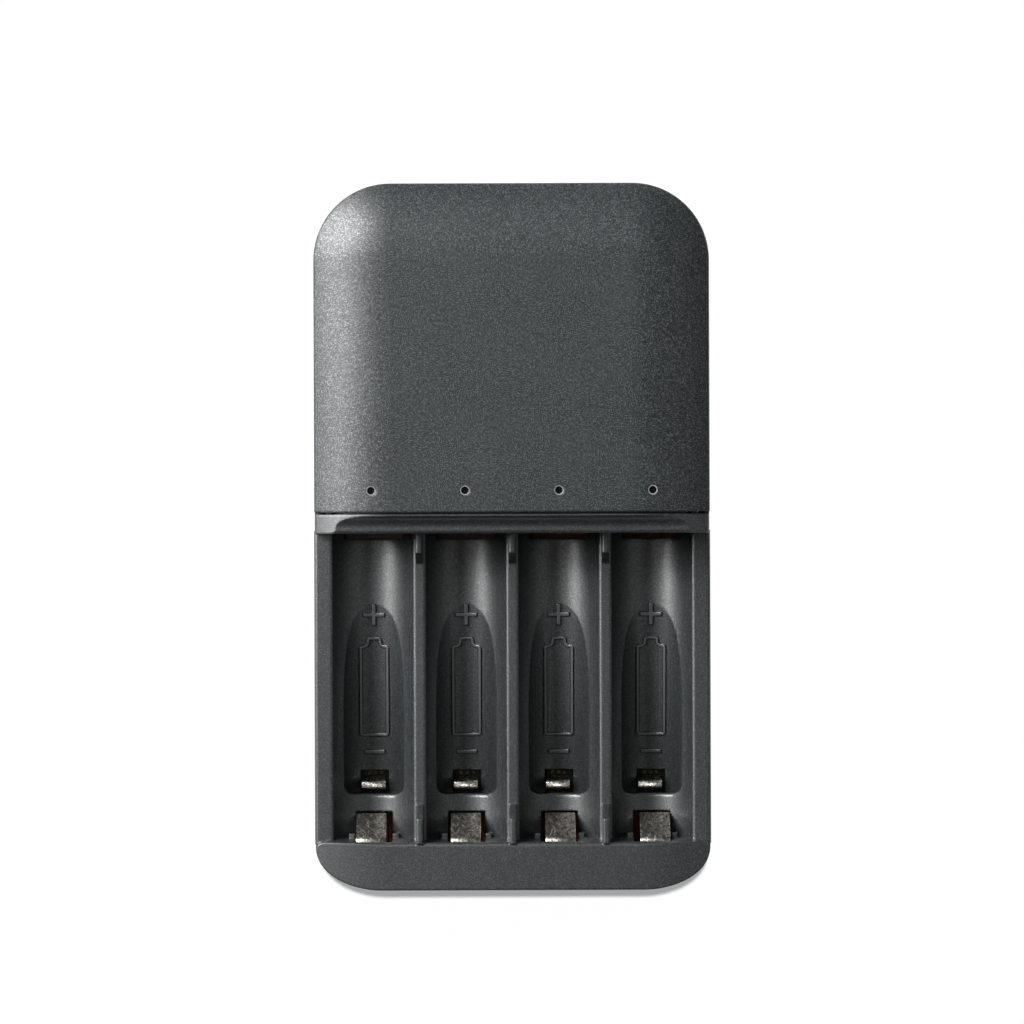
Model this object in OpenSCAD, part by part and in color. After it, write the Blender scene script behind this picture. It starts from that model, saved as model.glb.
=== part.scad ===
// Four-bay charger for AA and AAA cells, lying on its back.
// X runs across the bays, Y towards the cover end, Z to the front. Sizes in mm.

/* [Body] */
// Width over the side walls
body_w = 70.8; // [70:0.1:90]
// Length from the lip end to the cover end
body_l = 126.4; // [125:0.1:150]
// Thickness at the top of the cover
body_h = 30; // [29:0.5:40]
// Wall of the three shells
wall = 2; // [1.6:0.1:2.4]
// Height of the parting line between rear and front shells
parting_z = 13; // [12:0.25:14]
// Plan radius of the two cover corners
corner_r = 14; // [11:0.5:16]
// Radius of the crown that rolls off to the cover's edges
crown_r = 24; // [20:0.5:60]
// Radius of the cover's rim
rim_r = 0.5; // [0.4:0.1:1.4]
// Draft of the cover's sides, over their height
side_draft = 0.45; // [0.2:0.05:0.6]
// Width of the flattened corners at the lip end
end_corner_w = 12.6; // [9:0.2:15]
// Length of the flattened corners at the lip end
end_corner_l = 7.5; // [5:0.1:8]
// Edge radius of the back
back_r = 2; // [1:0.25:3]

/* [Bays] */
// Distance from bay to bay
bay_pitch = 16.6; // [16.4:0.1:17]
// Diameter of the AA trough
aa_d = 14.7; // [14.6:0.05:14.9]
// Diameter of the AAA trough
aaa_d = 10.8; // [10.7:0.05:11.2]
// Slope of the AAA trough under the AA trough, in degrees
aaa_tilt = 9; // [8.5:0.1:9.2]
// Height of the AA trough floor
aa_floor_z = 12; // [11.8:0.1:12.6]
// Thickness of the trough floors
sheet = 1.6; // [1.2:0.1:1.8]
// Thickness of the AAA trough's floor
aaa_sheet = 1.2; // [0.9:0.1:1.4]
// Height of the ribs and of the side walls
rib_z = 18; // [17:0.25:19]
// Edge radius of the ribs and side walls
rib_edge_r = 0.6; // [0.3:0.05:0.8]
// Length of an AA cell
aa_len = 50.5; // [50:0.1:50.8]
// Length of an AAA cell
aaa_len = 44.5; // [44:0.1:44.8]
// Room behind the AA cell up to the end wall
aa_end_room = 4.4; // [4:0.1:4.8]
// Room behind the AAA cell up to its end wall
aaa_end_room = 2.8; // [2.4:0.1:3.2]
// Edge radius of the AAA trough's end wall
aaa_end_r = 0.55; // [0.3:0.05:0.7]
// Height of the fins at the rib ends
fin_z = 22.3; // [20:0.25:24]
// Thickness of the fins
fin_t = 1.2; // [0.8:0.1:1.6]

/* [Head and lip] */
// Length of the lip
lip_l = 9; // [8.5:0.1:12]
// Slope of the lip's inner wall, over its height
end_draft = 0.85; // [0.3:0.05:1.1]
// Distance from the head wall to the cover's seam
ledge_l = 3.6; // [3.2:0.1:5]
// Height of the ledge over the bays
ledge_z = 27.6; // [26:0.2:28]
// Radius of the cove between ledge and cover
cove_r = 2.1; // [1.5:0.1:2.2]
// Radius of the ledge's ends
ledge_end_r = 1.6; // [1:0.1:3]
// Open seam between the cover and the front housing
seam_gap = 0.4; // [0.2:0.05:0.6]
// Height of the lip
lip_z = 22; // [21.5:0.25:24]
// Drop of the lip's crown at its two ends
lip_drop = 1.2; // [0.6:0.1:1.6]
// Edge radius of the lip towards the cells
lip_edge_r = 0.7; // [0.4:0.05:1]
// Edge radius of the lip at its outer end
lip_rim_r = 0.25; // [0.2:0.05:0.6]

/* [Contacts] */
// Thickness of the contact metal
leaf_t = 0.4; // [0.3:0.05:0.5]
// Width of the AA contact
aa_leaf_w = 5.35; // [4.5:0.05:5.6]
// Width of the AAA contact
aaa_leaf_w = 4.3; // [3.5:0.05:4.5]
// Width of the positive contact
plus_leaf_w = 10; // [8:0.2:10.2]
// Width of the AA window
aa_window_w = 6.6; // [6.2:0.1:7]
// Width of the AAA window
aaa_window_w = 5.1; // [4.9:0.1:5.4]
// How much further apart the AA contacts stand than the bays
aa_contact_step = 0.33; // [0:0.01:0.35]
// Sideways shift of the AAA contacts in their windows
aaa_contact_shift = 0.22; // [0:0.01:0.26]

/* [Plug] */
// Centre distance of the mains blades
blade_gap = 12.7; // [12.7:0.1:13]
// Width of a blade
blade_w = 6.35; // [6:0.05:6.4]
// Thickness of a blade
blade_t = 1.5; // [1.4:0.05:1.6]
// Length of a blade outside the hub
blade_l = 17; // [15:0.5:18]
// Radius of the plug hub
hub_r = 4.1; // [3.9:0.05:4.2]
// Wall between the plug's well and the cover end
plug_end = 6.1; // [5:0.1:8]
// Running clearance round the plug
plug_gap = 0.4; // [0.3:0.05:0.6]

/* [Boards] */
// Thickness of the circuit board and the contact boards
board_t = 1.6; // [1.2:0.1:1.8]
// Height of the posts under the boards
board_post = 1; // [0.8:0.1:1.2]

/* [Lights] */
// Distance of the indicator lights from the seam
light_y = 4; // [3.5:0.25:5]
// Diameter of the indicator holes
light_d = 1.35; // [1:0.05:2]

/* [Hidden] */
$fn = 64;
eps = 0.02;
arc_steps = 14;
bays = 4;

half_w = body_w / 2;
half_l = body_l / 2;
aa_r = aa_d / 2;
aaa_r = aaa_d / 2;
aa_axis_z = aa_floor_z + aa_r;
// The bays are laid out from the lip, and the head wall stands where the cells' positive ends stop
lip_y = lip_l - half_l;
plus_y = lip_y + aa_end_room + aa_len;
head_y = plus_y + 0.1;
seam_y = head_y + ledge_l;
// The AAA trough's axis starts here, and slopes down from this height
slope_y = plus_y - 0.7;
aaa_axis_z = aa_floor_z + aaa_r + 1.95;
aaa_end_y = plus_y - aaa_len * cos(aaa_tilt) - aaa_end_room;
end_wall = 1.5;
lip_inset = 0.45;
lip_flat = half_w - end_corner_w;
lip_crown_r = (pow(end_corner_w, 2) + pow(lip_drop, 2)) / (2 * lip_drop);
crown_flat = half_w - corner_r;
board_z = wall + board_post;
board_top = board_z + board_t;
hub_z = hub_r + 0.3;
finger_room = 4;
hub_y = half_l - plug_end - finger_room - blade_l - hub_r;
well_x = blade_gap / 2 + blade_t / 2 + 2.6;
well_wall = 1.6;
well_top = hub_z + hub_r + plug_gap;
well_y0 = hub_y - hub_r - plug_gap;
well_y1 = hub_y + hub_r + blade_l + finger_room;
pin_r = 1.6;
pin_gap = 0.3;
pin_x = well_x + well_wall + 3.4;
retainer_t = 1.6;
ear_x = well_x + well_wall + 4.4;
ear_y = hub_y + 12;
upper_screw = [half_w - 9.5, half_l - 11.5];
lower_screw = [bay_pitch, -(half_l - 5)];
screws = [
  [upper_screw[0], upper_screw[1]], [-upper_screw[0], upper_screw[1]],
  [lower_screw[0], lower_screw[1]], [-lower_screw[0], lower_screw[1]]
];
post_r = 2.9;
screw_r = 1.25;
screw_head_r = 2.3;
screw_head_z = 3;
led_r = 1.5;
led_top = board_top + 4.5;
lights_y = seam_y + light_y;
// The circuit board, and on it the strip between the seam and the plug's well for the larger parts
board_y0 = aaa_end_y - 3.4;
board_y1 = well_y0 - well_wall - 0.6;
parts_y = seam_y + 2.4;
parts_l = board_y1 - parts_y;
part_k = parts_l / 18.5;
core_y = parts_y + 0.573 * parts_l;
can_y = parts_y + 0.61 * parts_l;
core_half = 6;
core_leg = 1.6;
core_slot = 4.4;

function bay_x(i) = (i - (bays + 1) / 2) * bay_pitch;
function aa_contact_x(i) = (i - (bays + 1) / 2) * (bay_pitch + aa_contact_step);
function aaa_contact_x(i) = bay_x(i) - aaa_contact_shift;
function arc(c, r, a0, a1) =
  [for (i = [0 : arc_steps]) c + r * [cos(a0 + (a1 - a0) * i / arc_steps), sin(a0 + (a1 - a0) * i / arc_steps)]];
function oval(c, rx, ry, a0, a1) =
  [for (i = [0 : arc_steps]) c + [rx * cos(a0 + (a1 - a0) * i / arc_steps), ry * sin(a0 + (a1 - a0) * i / arc_steps)]];
// Height of the cover's surface, or of a surface d below it, at a distance x from the middle
function crown_z(x, d) = body_h - crown_r
  + sqrt(pow(crown_r - d, 2) - pow(max(abs(x) - crown_flat, 0), 2));

// Centre of the rim's rounding, between the crown and the drafted side
function rim_centre(a, b, k, z, n) = let (
  x = a - k * (z - parting_z), up = body_h - crown_r + sqrt(b * b - x * x))
  n == 0 ? [x, up] : rim_centre(a, b, k, up, n - 1);

// The plan outline of the whole body, d inside its edge
function outline(d) = concat(
  arc([crown_flat, half_l - corner_r], corner_r - d, 0, 90),
  arc([-crown_flat, half_l - corner_r], corner_r - d, 90, 180),
  oval([-lip_flat, end_corner_l - half_l], end_corner_w - d, end_corner_l - d, 180, 270),
  oval([lip_flat, end_corner_l - half_l], end_corner_w - d, end_corner_l - d, 270, 360)
);

// Bent strip metal: a path of points with rounded bends, given a thickness
function bend(a, b, c, r) =
  [for (i = [0 : 6]) let (
     p = b + r * (a - b) / norm(a - b),
     q = b + r * (c - b) / norm(c - b),
     t = i / 6)
   (1 - t) * (1 - t) * p + 2 * t * (1 - t) * b + t * t * q];
function path(p, r) = concat([p[0]],
  [for (i = [1 : len(p) - 2]) each bend(p[i - 1], p[i], p[i + 1], r)], [p[len(p) - 1]]);
function side_dir(p, i) = let (
  a = p[max(i - 1, 0)], b = p[min(i + 1, len(p) - 1)], d = (b - a) / norm(b - a)) [-d[1], d[0]];
function ribbon(p, t) = concat(
  [for (i = [0 : len(p) - 1]) p[i] + side_dir(p, i) * t / 2],
  [for (i = [len(p) - 1 : -1 : 0]) p[i] - side_dir(p, i) * t / 2]);

// A flat shape in X and Z, drawn out from y0 to y1
module along_y(y0, y1) {
  translate([0, y1, 0]) rotate([90, 0, 0]) linear_extrude(y1 - y0) children();
}

// A flat shape in Y and Z, drawn out from x0 to x1
module along_x(x0, x1) {
  translate([x0, 0, 0]) rotate([90, 0, 90]) linear_extrude(x1 - x0) children();
}

module box(a, b) {
  translate(a) cube(b - a);
}

// Half of the cover's cross-section, from the corner's centre outwards
module crown_half(d, z0) {
  r = corner_r - d;
  big = crown_r - d;
  f = max(rim_r - d, 0.3);
  k = side_draft / (body_h - parting_z);
  c = rim_centre(r - f * sqrt(1 + k * k), big - f, k, body_h - 4, 8);
  turn = asin(c[0] / (big - f));
  up = 4 * [sin(turn), cos(turn)];
  side = 4 * [cos(atan(k)), sin(atan(k))];
  difference() {
    intersection() {
      polygon([[0, z0], [r - k * (z0 - parting_z), z0], [r - k * (body_h - parting_z), body_h], [0, body_h]]);
      translate([0, body_h - crown_r]) circle(big, $fn = 128);
    }
    difference() {
      polygon([c, c + up, c + up + side, c + side]);
      translate(c) circle(f);
    }
  }
}

// The cover's full cross-section
module crown_section(d, z0) {
  translate([-crown_flat, z0]) square([2 * crown_flat, body_h - d - z0]);
  translate([crown_flat, 0]) crown_half(d, z0);
  mirror([1, 0]) translate([crown_flat, 0]) crown_half(d, z0);
}

// The crowned block over the electronics, d inside its skin
module crown_block(d, z0, y0) {
  cy = half_l - corner_r;
  along_y(y0, cy) crown_section(d, z0);
  translate([crown_flat, cy, 0]) rotate_extrude(angle = 90) crown_half(d, z0);
  translate([-crown_flat, cy, 0]) rotate([0, 0, 90]) rotate_extrude(angle = 90) crown_half(d, z0);
  along_x(-crown_flat, crown_flat) translate([cy, 0]) crown_half(d, z0);
}

module top_cover() {
  color("dimgray") difference() {
    union() {
      difference() {
        crown_block(0, parting_z, seam_y + seam_gap / 2);
        crown_block(wall, parting_z - 1, seam_y - 1);
      }
      for (s = [0, 1])
        translate([screws[s][0], screws[s][1], parting_z])
          cylinder(r = post_r, h = crown_z(screws[s][0], wall) - parting_z - 1);
    }
    for (s = [0, 1])
      translate([screws[s][0], screws[s][1], parting_z - 1]) cylinder(r = screw_r + 0.15, h = 10);
    for (i = [1 : bays]) {
      translate([bay_x(i), lights_y, body_h - wall - 2]) cylinder(d = light_d, h = wall + 3);
      translate([bay_x(i), lights_y, crown_z(bay_x(i), 0) - 0.22])
        cylinder(d1 = light_d, d2 = light_d + 0.8, h = 0.4);
    }
  }
}

// One rounded top strip of a rib or side wall
module rounded_top(x0, x1) {
  f = rib_edge_r;
  translate([x0 + f, rib_z - f]) square([x1 - x0 - 2 * f, f]);
  for (x = [x0 + f, x1 - f])
    translate([x, rib_z - f]) circle(f);
}

// Cross-section of the tray with its ribs, side walls and AA troughs
module tray_section() {
  edge_z = rib_z - rib_edge_r;
  reach = sqrt(aa_r * aa_r - pow(aa_axis_z - edge_z, 2)) - 0.03;
  difference() {
    intersection() {
      union() {
        for (i = [1 : bays])
          translate([bay_x(i), aa_axis_z]) circle(aa_r + sheet, $fn = 96);
        for (i = [1 : bays - 1])
          translate([bay_x(i) + aa_r - sheet, rib_z - 3]) square([bay_pitch - aa_d + 2 * sheet, 3]);
        for (s = [-1, 1]) {
          translate([s > 0 ? half_w - wall : -half_w, parting_z]) square([wall, rib_z - parting_z]);
          translate([s > 0 ? half_w - 5 : -half_w, rib_z - 2.4]) square([5, 2.4]);
        }
      }
      union() {
        translate([-half_w - 1, 0]) square([body_w + 2, edge_z]);
        for (i = [1 : bays - 1])
          rounded_top(bay_x(i) + reach, bay_x(i + 1) - reach);
        rounded_top(-half_w, bay_x(1) - reach);
        rounded_top(bay_x(bays) + reach, half_w);
      }
    }
    for (i = [1 : bays])
      translate([bay_x(i), aa_axis_z]) circle(aa_r, $fn = 96);
  }
}

// Round-bottomed slot of the AAA trough
module slot_section(r) {
  circle(r, $fn = 96);
  translate([-r, 0]) square([2 * r, 14]);
}

// The AAA trough, sloping down from the head of the AA trough, with a wall of t round it
module aaa_trough(i, t) {
  r = aaa_r + t;
  cr = 1.6;
  y0 = aaa_end_y - t;
  intersection() {
    translate([bay_x(i), slope_y, aaa_axis_z]) rotate([90 + aaa_tilt, 0, 0])
      linear_extrude(aaa_len + 16) slot_section(r);
    translate([bay_x(i), 0, 0]) linear_extrude(t > 0 ? aa_axis_z - 1.6 : body_h) {
      translate([-r, y0 + cr]) square([2 * r, slope_y - 6 - y0 - cr]);
      translate([-r + cr, y0]) square([2 * r - 2 * cr, cr]);
      for (s = [-1, 1])
        translate([s * (r - cr), y0 + cr]) circle(cr);
    }
  }
}

// What the rounding takes off the top edge of the AAA trough's end wall, turned about the AA trough's axis
module end_rounding(i) {
  f = aaa_end_r;
  turn = asin((aaa_r - 1.6) / aa_r);
  translate([bay_x(i), aaa_end_y, aa_axis_z]) rotate([90, 0, 0]) rotate([0, 0, 270 - turn])
    rotate_extrude(angle = 2 * turn) difference() {
      translate([aa_r - 0.3, -0.3]) square([f + 0.3, f + 0.3]);
      translate([aa_r + f, f]) circle(f, $fn = 20);
    }
}

// Fin at a rib end: flat top from y0 to y1, then a slope down to y2 on the rib
module fin(x, y0, y1, y2) {
  f = 0.3;
  translate([x, 0, 0]) intersection() {
    along_y(min(y0, y2), max(y0, y2)) {
      translate([-fin_t / 2, rib_z - 2]) square([fin_t, fin_z - f - rib_z + 2]);
      translate([-fin_t / 2 + f, rib_z]) square([fin_t - 2 * f, fin_z - rib_z]);
      for (s = [-1, 1])
        translate([s * (fin_t / 2 - f), fin_z - f]) circle(f);
    }
    along_x(-fin_t, fin_t)
      polygon([[y0, rib_z - 2], [y0, fin_z], [y1, fin_z], [y2, rib_z], [y2, rib_z - 2]]);
  }
}

// Head of the bays: the wall, the ledge with its cove, and the tongue under the cover
module head_block() {
  cove_y = seam_y - seam_gap / 2 - 0.35;
  lip_top = body_h - 0.25;
  difference() {
    union() {
      intersection() {
        along_y(head_y, seam_y - seam_gap / 2) {
          translate([-half_w, parting_z]) square([body_w, ledge_z - ledge_end_r - parting_z]);
          translate([-half_w + ledge_end_r, parting_z]) square([body_w - 2 * ledge_end_r, ledge_z - parting_z]);
          for (s = [-1, 1])
            translate([s * (half_w - ledge_end_r), ledge_z - ledge_end_r]) circle(ledge_end_r);
        }
        along_y(head_y, seam_y - seam_gap / 2) crown_section(0.25, parting_z);
        along_x(-half_w - 1, half_w + 1) {
          translate([head_y, 0]) square([ledge_l, ledge_z - 0.6]);
          translate([head_y + 0.6, 0]) square([ledge_l, ledge_z + 1]);
          translate([head_y + 0.6, ledge_z - 0.6]) circle(0.6);
        }
      }
      intersection() {
        along_y(head_y, seam_y - seam_gap / 2) crown_section(0.25, parting_z);
        along_x(-half_w - 1, half_w + 1) difference() {
          translate([cove_y - cove_r, ledge_z - 1]) square([cove_r + 1, lip_top - ledge_z + 1]);
          translate([cove_y - cove_r, ledge_z + cove_r]) circle(cove_r);
          translate([cove_y - cove_r - 1, ledge_z + cove_r]) square([cove_r + 1, 8]);
          translate([cove_y - cove_r - 1, ledge_z]) square([1, 8]);
        }
      }
      along_y(seam_y - 1.2, seam_y + 2) difference() {
        crown_section(wall + 0.1, parting_z);
        crown_section(wall + 1.5, parting_z - 1);
      }
    }
    box([-half_w + wall, head_y + 1.8, parting_z - 1], [half_w - wall, seam_y - 1.2, ledge_z - wall]);
    box([-half_w + wall + 1.5, seam_y - 1.3, parting_z - 1], [half_w - wall - 1.5, seam_y + 3, ledge_z - wall]);
  }
  box([-half_w + wall + 0.2, head_y, aa_floor_z - sheet], [half_w - wall - 0.2, head_y + 1.8, parting_z + 0.5]);
}

// Cross-section of the lip, its top rolling off to both ends
module lip_section(d) {
  r = lip_crown_r - d;
  cz = lip_z - lip_crown_r;
  flat = lip_flat;
  translate([-flat, parting_z - 1]) square([2 * flat, lip_z - d - parting_z + 1]);
  for (s = [0, 1])
    mirror([s, 0]) intersection() {
      translate([flat, cz]) circle(r, $fn = 256);
      translate([flat, parting_z - 1]) square([end_corner_w, lip_z]);
    }
}

// The lip that closes the bays at the end
module lip_block() {
  f = lip_edge_r;
  g = lip_rim_r;
  y0 = -half_l + lip_inset;
  difference() {
    intersection() {
      translate([0, 0, parting_z]) linear_extrude(body_h) intersection() {
        polygon(outline(lip_inset));
        union() {
          translate([-half_w, -half_l]) square([body_w, half_l + lip_y - 1]);
          translate([-half_w + lip_inset + 1, -half_l]) square([body_w - 2 * lip_inset - 2, half_l + lip_y]);
          for (s = [-1, 1])
            translate([s * (half_w - lip_inset - 1), lip_y - 1]) circle(1);
        }
      }
      along_y(-half_l, lip_y) lip_section(0);
      along_x(-half_w, half_w) {
        translate([y0, 0]) square([lip_y - y0, lip_z - f]);
        translate([y0, 0]) square([lip_y - y0 - f, lip_z - g]);
        translate([y0 + g, 0]) square([lip_y - y0 - f - g, lip_z + 1]);
        translate([y0 + g, lip_z - g]) circle(g);
        translate([lip_y - f, lip_z - f]) circle(f);
      }
    }
    intersection() {
      translate([0, 0, parting_z - 1]) linear_extrude(lip_z - wall - parting_z + 1) intersection() {
        polygon(outline(wall));
        translate([-half_w, -half_l]) square([body_w, half_l + lip_y - end_wall]);
      }
      along_y(-half_l, lip_y) lip_section(wall - 0.4);
    }
  }
  // Bosses for the two lower case screws
  for (s = [2, 3])
    difference() {
      translate([screws[s][0], screws[s][1], parting_z]) cylinder(r = post_r, h = lip_z - wall - parting_z + 0.3);
      translate([screws[s][0], screws[s][1], parting_z - 1]) cylinder(r = screw_r + 0.15, h = 7);
    }
  // Lower edge of the end wall, between the side walls
  box([-half_w + wall + 0.2, lip_y - end_wall, aa_floor_z - sheet], [half_w - wall - 0.2, lip_y, parting_z + 0.5]);
  // Slope of the end wall towards the cells
  along_x(-half_w + wall + 0.2, half_w - wall - 0.2)
    polygon([[lip_y - 0.5, aa_floor_z - 0.5], [lip_y + end_draft, aa_floor_z - 0.5],
             [lip_y, lip_z - lip_drop - 0.8], [lip_y - 0.5, lip_z - lip_drop - 0.8]]);
}

module front_housing() {
  color("dimgray") difference() {
    union() {
      difference() {
        union() {
          along_y(lip_y - 0.5, head_y + 0.5) tray_section();
          for (i = [1 : bays])
            aaa_trough(i, aaa_sheet);
        }
        for (i = [1 : bays]) {
          along_y(lip_y, head_y) translate([bay_x(i), aa_axis_z]) circle(aa_r, $fn = 96);
          aaa_trough(i, 0);
        }
      }
      head_block();
      lip_block();
      for (i = [1 : bays - 1]) {
        fin(bay_x(i) + bay_pitch / 2, head_y + 0.3, head_y - 3.5, head_y - 5.4);
        fin(bay_x(i) + bay_pitch / 2, lip_y - 0.3, lip_y + 4.1, lip_y + 6.6);
      }
      // Stops beside each AA contact
      for (i = [1 : bays])
        for (s = [-1, 1])
          box([bay_x(i) + s * (aa_window_w / 2 + 0.6) - 0.5, lip_y - 0.3, aa_floor_z - 0.4],
              [bay_x(i) + s * (aa_window_w / 2 + 0.6) + 0.5, lip_y + 1.3, aa_floor_z + 4.5]);
    }
    for (i = [1 : bays]) {
      // Slit and recess for the positive contact
      box([bay_x(i) - plus_leaf_w / 2 - 0.4, head_y - 1.1, aa_floor_z - sheet - 1],
          [bay_x(i) + plus_leaf_w / 2 + 0.4, head_y + 0.65, aa_floor_z + 2.2]);
      box([bay_x(i) - plus_leaf_w / 2 - 0.4, head_y - 0.1, aa_floor_z],
          [bay_x(i) + plus_leaf_w / 2 + 0.4, head_y + 0.65, ledge_z - 1.6]);
      // Rounded top edge of the AAA trough's end wall
      end_rounding(i);
      // Window of the AAA contact
      box([bay_x(i) - aaa_window_w / 2, aaa_end_y - 0.05, board_top],
          [bay_x(i) + aaa_window_w / 2, aaa_end_y + 4.2, aa_floor_z - 2.4]);
      // Window of the AA contact, and its way through the end wall
      box([bay_x(i) - aa_window_w / 2, lip_y - end_wall - 0.2, aa_floor_z - sheet - 1],
          [bay_x(i) + aa_window_w / 2, lip_y + 5.1, aa_floor_z + 1.5]);
      box([bay_x(i) - aa_window_w / 2, lip_y - end_wall - 0.2, aa_floor_z - sheet - 1],
          [bay_x(i) + aa_window_w / 2, lip_y + end_draft + 0.3, lip_z - wall]);
    }
  }
}

// Height steps of the rear shell, rounded towards the back
module rear_skin() {
  hull()
    for (i = [0 : 4])
      translate([0, 0, i < 4 ? back_r * (1 - cos(i * 22.5)) : back_r])
        linear_extrude(i < 4 ? eps : parting_z - back_r) polygon(outline(back_r * (1 - sin(i * 22.5))));
}

module rear_housing() {
  color("dimgray") difference() {
    union() {
      difference() {
        rear_skin();
        translate([0, 0, wall]) linear_extrude(body_h) polygon(outline(wall));
      }
      // Well of the mains plug
      box([-well_x - well_wall, well_y0 - well_wall, wall - 0.5], [well_x + well_wall, well_y1 + well_wall, well_top]);
      for (s = [-1, 1])
        translate([s * ear_x, ear_y, wall - 0.5]) cylinder(r = 2.4, h = well_top - wall + 0.5);
      // Posts of the case screws
      for (p = screws)
        translate([p[0], p[1], wall - 0.5]) cylinder(r = post_r, h = parting_z - wall + 0.5);
      // Pads under the boards
      for (x = [-28, 28])
        for (f = [0.08, 0.37, 0.69, 0.93])
          translate([x, board_y0 + f * (board_y1 - board_y0), wall - 0.5]) cylinder(r = 2, h = board_post + 0.5);
      for (x = [-27, 0, 27])
        translate([x, lip_y - 1.5, wall - 0.5]) cylinder(r = 1.6, h = board_post + 0.5);
    }
    box([-well_x, well_y0, -1], [well_x, well_y1, well_top + 1]);
    // Open bearings of the plug's pins
    for (s = [-1, 1]) {
      translate([s * (well_x + well_wall / 2), hub_y, hub_z]) rotate([0, 90, 0])
        cylinder(r = pin_r + pin_gap, h = well_wall + 1, center = true);
      box([s * (well_x + well_wall / 2) - well_wall / 2 - 0.5, hub_y - pin_r - pin_gap, hub_z],
          [s * (well_x + well_wall / 2) + well_wall / 2 + 0.5, hub_y + pin_r + pin_gap, well_top + 1]);
      translate([s * ear_x, ear_y, wall + 1]) cylinder(r = 1.1, h = 20);
    }
    for (p = screws) {
      translate([p[0], p[1], -1]) cylinder(r = screw_head_r + 0.3, h = screw_head_z + 1);
      translate([p[0], p[1], 0]) cylinder(r = screw_r + 0.2, h = body_h);
    }
  }
}

module plug_hub() {
  color("black") difference() {
    translate([0, hub_y, hub_z]) rotate([0, 90, 0])
      cylinder(r = hub_r, h = 2 * (well_x - plug_gap), center = true);
    for (s = [-1, 1]) {
      box([s * blade_gap / 2 - blade_t / 2, hub_y - 2.2, hub_z - blade_w / 2],
          [s * blade_gap / 2 + blade_t / 2, hub_y + hub_r + 1, hub_z + blade_w / 2]);
      translate([s * (blade_gap / 2 + 3), hub_y, hub_z]) rotate([0, 90, 0])
        cylinder(r = pin_r + 0.1, h = 6, center = true);
    }
  }
}

// One blade with its pivot pin, s is the side
module blade(s) {
  tip = 1.4;
  translate([s * blade_gap / 2, hub_y, hub_z]) {
    translate([-blade_t / 2, 0, 0]) rotate([90, 0, 90]) linear_extrude(blade_t)
      polygon([[-2.2, -blade_w / 2], [hub_r + blade_l - tip, -blade_w / 2],
               [hub_r + blade_l, -blade_w / 2 + tip], [hub_r + blade_l, blade_w / 2 - tip],
               [hub_r + blade_l - tip, blade_w / 2], [-2.2, blade_w / 2]]);
    rotate([0, s * 90, 0]) cylinder(r = pin_r, h = pin_x - blade_gap / 2);
  }
}

module plug_blade_left() {
  color("silver") difference() {
    blade(-1);
    translate([-blade_gap / 2, hub_y + hub_r + blade_l - 4, hub_z]) rotate([0, 90, 0])
      cylinder(d = 3, h = 8, center = true);
  }
}

module plug_blade_right() {
  color("silver") difference() {
    blade(1);
    translate([blade_gap / 2, hub_y + hub_r + blade_l - 4, hub_z]) rotate([0, 90, 0])
      cylinder(d = 3, h = 8, center = true);
  }
}

// Lid that holds the plug's pins down in their bearings
module plug_retainer() {
  color("black") difference() {
    union() {
      box([-well_x - well_wall, well_y0 - well_wall, well_top],
          [well_x + well_wall, well_y1 + well_wall, well_top + retainer_t]);
      for (s = [-1, 1]) {
        translate([s * ear_x, ear_y, well_top]) cylinder(r = 2.8, h = retainer_t);
        box([min(s * ear_x, s * well_x), ear_y - 2.8, well_top],
            [max(s * ear_x, s * well_x), ear_y + 2.8, well_top + retainer_t]);
        box([s * (well_x + well_wall / 2) - well_wall / 2, hub_y - pin_r, hub_z + pin_r + pin_gap],
            [s * (well_x + well_wall / 2) + well_wall / 2, hub_y + pin_r, well_top + 0.5]);
      }
    }
    for (s = [-1, 1])
      translate([s * ear_x, ear_y, well_top - 1]) cylinder(r = 1.2, h = 5);
  }
}

module retainer_screws() {
  color("silver")
    for (s = [-1, 1]) {
      translate([s * ear_x, ear_y, well_top + retainer_t]) cylinder(r = 2, h = 1.2);
      translate([s * ear_x, ear_y, wall + 2]) cylinder(r = 1, h = well_top + retainer_t - wall - 1.5);
    }
}

module case_screws() {
  color("silver")
    for (p = screws) {
      translate([p[0], p[1], screw_head_z - 1.8]) cylinder(r = screw_head_r, h = 1.8);
      translate([p[0], p[1], screw_head_z - 0.5]) cylinder(r = screw_r, h = parting_z - screw_head_z + 6);
    }
}

// Spring strip from the circuit board to a pivot pin
module ac_spring(s) {
  top = hub_z + pin_r + pin_gap + leaf_t / 2;
  p = path([[hub_y - 12, board_top + leaf_t / 2], [hub_y - 8.5, board_top + leaf_t / 2],
            [hub_y - 5, top + 0.6], [hub_y, top], [hub_y + 2.5, top + 0.4]], 0.8);
  x = s * (pin_x - 1.7);
  along_x(x - 1.2, x + 1.2) polygon(ribbon(p, leaf_t));
}

module ac_spring_left() {
  color("silver") ac_spring(-1);
}

module ac_spring_right() {
  color("silver") ac_spring(1);
}

module circuit_board() {
  color("green") difference() {
    box([-half_w + wall + 2, board_y0, board_z], [half_w - wall - 2, board_y1, board_top]);
    for (i = [1 : bays])
      for (k = [-1 : 1])
        translate([bay_x(i) + k * 1.1, aaa_end_y + 3.5, board_z - 1]) cylinder(d = 0.6, h = board_t + 2);
  }
}

module positive_board() {
  color("sienna")
    box([-half_w + wall + 2.5, head_y - 3.2, board_top], [half_w - wall - 2.5, head_y + 2.4, board_top + 1.2]);
}

module negative_board() {
  y0 = -half_l + wall + 1.8;
  color("sienna") difference() {
    box([-half_w + 6.5, y0, board_z], [half_w - 6.5, aaa_end_y - 3.6, board_top]);
    for (s = [2, 3])
      translate([screws[s][0], screws[s][1], board_z - 1]) cylinder(r = post_r + 0.3, h = board_t + 2);
  }
}

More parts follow.
